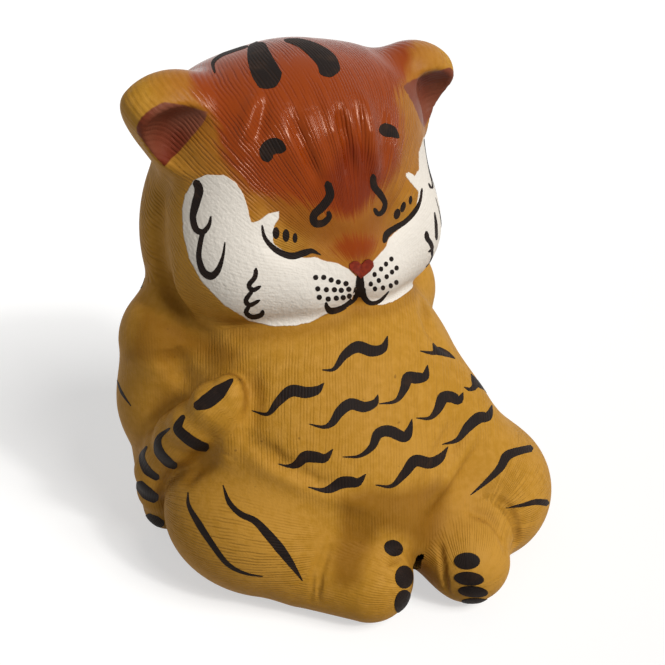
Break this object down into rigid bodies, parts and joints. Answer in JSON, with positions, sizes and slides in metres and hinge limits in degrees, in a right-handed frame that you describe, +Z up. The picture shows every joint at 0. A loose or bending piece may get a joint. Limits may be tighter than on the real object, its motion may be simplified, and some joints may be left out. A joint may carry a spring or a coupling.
{
  "type": "clay tea pet",
  "caption": "Sleeping tiger tea pet of hand built, slip painted clay: a reclining round belly, white cheeks, closed eyes and a tail curled up over its flank.",
  "frame": {"origin": "on the table under the middle of the vent hole in the base disc", "axes": "+Z up, the tiger faces -Y, its left side is +X"},
  "size_m": [0.0751, 0.0772, 0.0943],
  "materials": {
    "ochre_slip": "matte",
    "rust_slip": "satin",
    "white_slip": "matte",
    "black_slip": "matte",
    "red_slip": "satin",
    "bare_clay": "matte"
  },
  "bodies": {
    "root": {"body_front": "ochre_slip", "body_back": "ochre_slip", "base_disc": "bare_clay", "neck_collar": "bare_clay", "head_front": "rust_slip", "head_back": "ochre_slip", "right_ear": "ochre_slip", "left_ear": "ochre_slip", "right_arm": "ochre_slip", "left_arm": "ochre_slip", "right_thigh": "ochre_slip", "left_thigh": "ochre_slip", "right_paw": "ochre_slip", "left_paw": "ochre_slip", "tail": "ochre_slip", "nose": "red_slip", "right_muzzle": "white_slip", "left_muzzle": "white_slip"}
  },
  "joints": []
}
